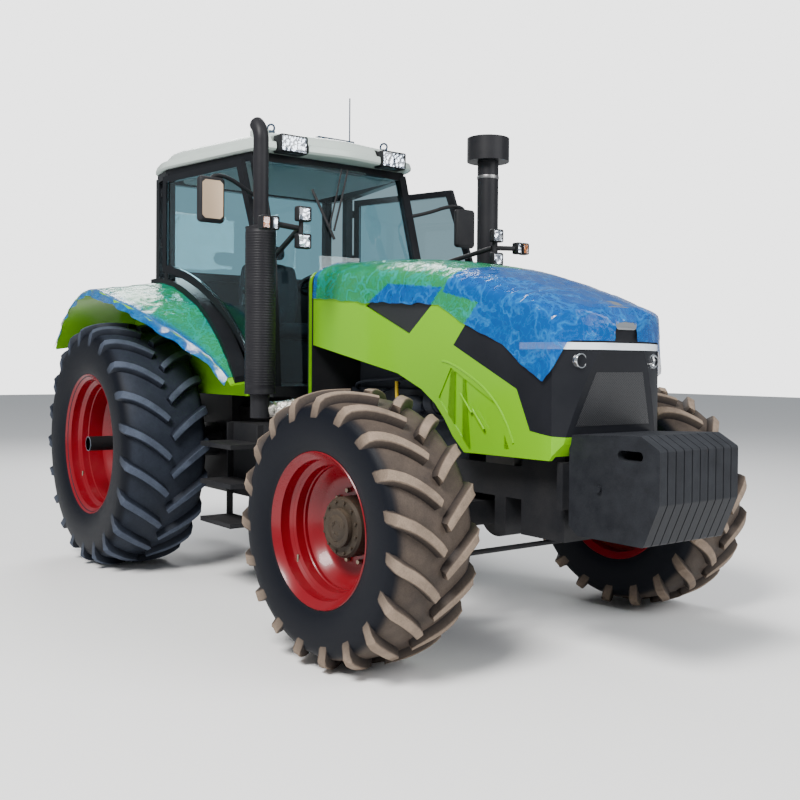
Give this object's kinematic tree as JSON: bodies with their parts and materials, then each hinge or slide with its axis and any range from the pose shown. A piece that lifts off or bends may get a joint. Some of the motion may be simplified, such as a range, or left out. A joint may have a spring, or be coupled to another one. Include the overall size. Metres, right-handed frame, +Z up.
{
  "type": "farm tractor",
  "caption": "Four-wheel-drive farm tractor with closed cab, long tilting bonnet, front weights, twin stacks and rear three-point hitch.",
  "frame": {"origin": "on the ground under the middle of the tractor's length and width", "axes": "+X forwards, +Y to the driver's left, +Z up"},
  "size_m": [5.6167, 2.76, 3.4538],
  "materials": {
    "cab_black": "satin black paint",
    "cab_glass": "blue-green tinted glass",
    "cast_grey": "dark cast iron",
    "chassis_black": "satin black paint",
    "fender_green": "gloss lime green under thin blue film",
    "fitting_dark": "dark moulding",
    "hood_green": "gloss lime green under thin blue film",
    "hub_black": "satin black paint",
    "hub_grey": "blue-grey paint",
    "lamp_clear": "clear lens over bright reflector",
    "rim_red": "gloss crimson paint",
    "roof_grey": "pale grey-green moulding",
    "seat_fabric": "black woven fabric",
    "stack_black": "black heat-proof paint",
    "steel": "bare steel",
    "trim_plastic": "moulded plastic",
    "tyre_rubber": "matt rubber with dusty lug tops",
    "weight_black": "black painted cast iron"
  },
  "bodies": {
    "chassis": {"engine": "cast_grey", "drivetrain": "chassis_black", "front_frame": "chassis_black", "front_axle": "chassis_black", "front_weights": "weight_black", "radiator": "chassis_black", "drawbar": "chassis_black", "side_tanks": "trim_plastic", "steps": "chassis_black", "cab_floor": "cab_black", "cab_frame": "cab_black", "cab_glass": "cab_glass", "roof": "roof_grey", "roof_fittings": "fitting_dark", "rear_fenders": "fender_green", "cowl": "trim_plastic", "exhaust_stack": "stack_black", "intake_stack": "stack_black", "seat": "seat_fabric", "dash": "trim_plastic", "console": "trim_plastic", "mirrors": "trim_plastic", "lamp_arms": "chassis_black", "lamps": "lamp_clear", "wiper": "trim_plastic"},
    "left_knuckle_body": {"left_knuckle": "chassis_black"},
    "right_knuckle_body": {"right_knuckle": "chassis_black"},
    "tie_rod_body": {"tie_rod": "chassis_black"},
    "hood_body": {"hood": "hood_green"},
    "left_door_body": {"left_door": "cab_black", "left_door_glass": "cab_glass"},
    "right_door_body": {"right_door": "cab_black", "right_door_glass": "cab_glass"},
    "steering_wheel_body": {"steering_wheel": "trim_plastic"},
    "lower_link_body": {"lower_links": "chassis_black"},
    "lift_arm_body": {"lift_arms": "chassis_black"},
    "lift_rod_body": {"lift_rods": "chassis_black"},
    "pto_body": {"pto_shaft": "steel"},
    "front_left_wheel": {"front_left_tyre": "tyre_rubber", "front_left_rim": "rim_red", "front_left_hub": "hub_black"},
    "front_right_wheel": {"front_right_tyre": "tyre_rubber", "front_right_rim": "rim_red", "front_right_hub": "hub_black"},
    "rear_left_wheel": {"rear_left_tyre": "tyre_rubber", "rear_left_rim": "rim_red", "rear_left_hub": "hub_grey"},
    "rear_right_wheel": {"rear_right_tyre": "tyre_rubber", "rear_right_rim": "rim_red", "rear_right_hub": "hub_grey"}
  },
  "joints": [
    {"name": "front_left_roll", "type": "hinge", "parent": "left_knuckle_body", "child": "front_left_wheel", "pos_m": [1.49959, 1.07196, 0.68], "axis": [-0.0872, 0.9962, 0], "continuous": true},
    {"name": "front_right_roll", "type": "hinge", "parent": "right_knuckle_body", "child": "front_right_wheel", "pos_m": [1.54718, -1.07196, 0.68], "axis": [-0.0872, 0.9962, 0], "continuous": true},
    {"name": "rear_left_roll", "type": "hinge", "parent": "chassis", "child": "rear_left_wheel", "pos_m": [-1.57662, 1.049, 0.885], "axis": [0, 1, 0], "continuous": true},
    {"name": "rear_right_roll", "type": "hinge", "parent": "chassis", "child": "rear_right_wheel", "pos_m": [-1.57662, -1.049, 0.885], "axis": [0, 1, 0], "continuous": true},
    {"name": "steer_right", "type": "hinge", "parent": "chassis", "child": "right_knuckle_body", "pos_m": [1.52338, -0.8, 0.68], "axis": [0, 0, 1], "range_deg": [-40, 30]},
    {"name": "steer_left", "type": "hinge", "parent": "chassis", "child": "left_knuckle_body", "pos_m": [1.52338, 0.8, 0.68], "axis": [0, 0, 1], "range_deg": [-40, 30]},
    {"name": "tie_rod_swing", "type": "hinge", "parent": "right_knuckle_body", "child": "tie_rod_body", "pos_m": [1.75251, -0.77995, 0.512], "axis": [0, 0, 1], "range_deg": [-30, 40]},
    {"name": "steering_wheel_turn", "type": "hinge", "parent": "chassis", "child": "steering_wheel_body", "pos_m": [-0.44662, 0, 2.03], "axis": [-0.3363, 0, 0.9417], "range_deg": [-400, 300]},
    {"name": "hood_tilt", "type": "hinge", "parent": "chassis", "child": "hood_body", "pos_m": [0.14838, 0, 2.08], "axis": [0, -1, 0], "range_deg": [0, 50]},
    {"name": "left_door_swing", "type": "hinge", "parent": "chassis", "child": "left_door_body", "pos_m": [-1.37662, 0.836, 2.3], "axis": [0, 0, 1], "range_deg": [-25, 45]},
    {"name": "right_door_swing", "type": "hinge", "parent": "chassis", "child": "right_door_body", "pos_m": [-1.37662, -0.836, 2.3], "axis": [0, 0, -1], "range_deg": [0, 70]},
    {"name": "lift_arm_swing", "type": "hinge", "parent": "chassis", "child": "lift_arm_body", "pos_m": [-1.97662, 0, 1.08], "axis": [0, 1, 0], "range_deg": [-27, 27]},
    {"name": "lower_link_swing", "type": "hinge", "parent": "chassis", "child": "lower_link_body", "pos_m": [-1.91662, 0, 0.46], "axis": [0, 1, 0], "range_deg": [-27, 27]},
    {"name": "lift_rod_swing", "type": "hinge", "parent": "lift_arm_body", "child": "lift_rod_body", "pos_m": [-2.37509, 0, 1.11486], "axis": [0, 1, 0], "range_deg": [-27, 27]},
    {"name": "pto_spin", "type": "hinge", "parent": "chassis", "child": "pto_body", "pos_m": [-1.90662, 0, 0.7], "axis": [1, 0, 0], "continuous": true}
  ],
  "couplings": [
    {"joint": "steer_left", "follows": "steer_right", "ratio": 1},
    {"joint": "tie_rod_swing", "follows": "steer_right", "ratio": -1},
    {"joint": "steering_wheel_turn", "follows": "steer_right", "ratio": 10},
    {"joint": "lower_link_swing", "follows": "lift_arm_swing", "ratio": 1},
    {"joint": "lift_rod_swing", "follows": "lift_arm_swing", "ratio": -1}
  ]
}
